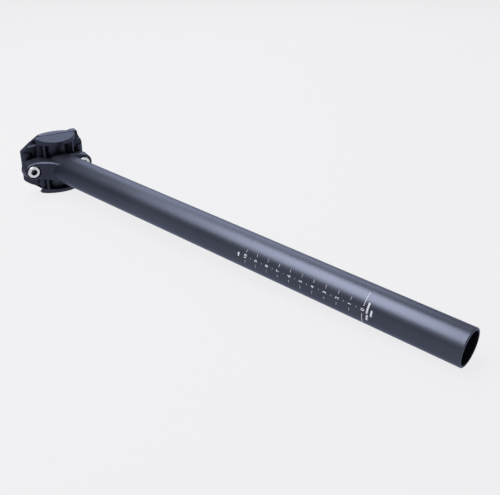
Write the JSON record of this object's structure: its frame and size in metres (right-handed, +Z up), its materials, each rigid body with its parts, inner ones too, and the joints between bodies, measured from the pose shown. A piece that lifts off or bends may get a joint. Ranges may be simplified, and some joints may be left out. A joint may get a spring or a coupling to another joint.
{
  "type": "bicycle seatpost",
  "caption": "Round black alloy bicycle seatpost with a forged two-arm head and a tilting saddle-rail clamp held by a bolt in front and a bolt behind",
  "frame": {"origin": "on the tube's axis, 1 mm inside its open lower end", "axes": "+X along the tube out of its open lower end, +Y towards the front of the bicycle, +Z to the side; the post lies on its side with +Z up"},
  "size_m": [0.4389, 0.0635, 0.055],
  "materials": {
    "black_alloy": "matte black anodised",
    "bolt_steel": "bright plated steel"
  },
  "bodies": {
    "post": {"seatpost": "black_alloy", "rear_bolt": "bolt_steel", "front_bolt": "bolt_steel", "rear_washer": "bolt_steel", "front_washer": "bolt_steel"},
    "clamp": {"lower_cradle": "black_alloy", "upper_clamp": "black_alloy"},
    "rear_nut": {"rear_barrel_nut": "bolt_steel"},
    "front_nut": {"front_barrel_nut": "bolt_steel"}
  },
  "joints": [
    {"name": "clamp_tilt", "type": "hinge", "parent": "post", "child": "clamp", "pos_m": [-0.42236, 0.00534, 0], "axis": [0, 0, 1], "range_deg": [-5, 5]},
    {"name": "rear_nut_travel", "type": "slide", "parent": "post", "child": "rear_nut", "axis": [-0.9563, 0.2924, 0], "range_m": [-0.0024, 0.0024]},
    {"name": "front_nut_travel", "type": "slide", "parent": "post", "child": "front_nut", "axis": [-0.9563, 0.2924, 0], "range_m": [-0.0024, 0.0024]}
  ],
  "couplings": [
    {"joint": "rear_nut_travel", "follows": "clamp_tilt", "m_per_rad": -0.026545},
    {"joint": "front_nut_travel", "follows": "clamp_tilt", "m_per_rad": 0.021545}
  ]
}
